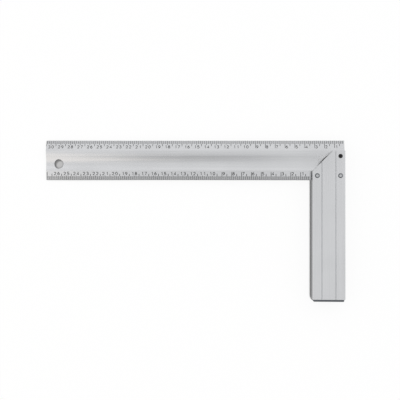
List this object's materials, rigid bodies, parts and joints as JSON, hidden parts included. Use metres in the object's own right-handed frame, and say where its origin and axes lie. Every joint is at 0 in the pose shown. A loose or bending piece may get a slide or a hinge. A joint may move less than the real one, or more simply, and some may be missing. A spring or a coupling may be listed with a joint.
{
  "type": "carpenter square",
  "caption": "Flat L-shaped marking square: a bevelled graduated blade with a finger channel and hanging hole, pinned at a right angle in a hollow stock with a mitred top.",
  "frame": {"origin": "under the middle of the outline, at the level of the stock's back face, as the square lies flat", "axes": "+X along the blade from its tip to its stock, +Y from the stock's plugged end to the blade's graduated outer edge, +Z out of the graduated face"},
  "size_m": [0.305, 0.1626, 0.018],
  "materials": {
    "blade": "satin anodised, extruded",
    "stock": "satin anodised, extruded",
    "pin": "turned",
    "screw": "black oxide",
    "plug": "moulded, matt",
    "ink": "printed scales, matt"
  },
  "bodies": {
    "root": {"blade": "blade", "stock": "stock", "inner_pin": "pin", "outer_pin": "pin", "clamp_screw": "screw", "end_plug": "plug"}
  },
  "joints": []
}
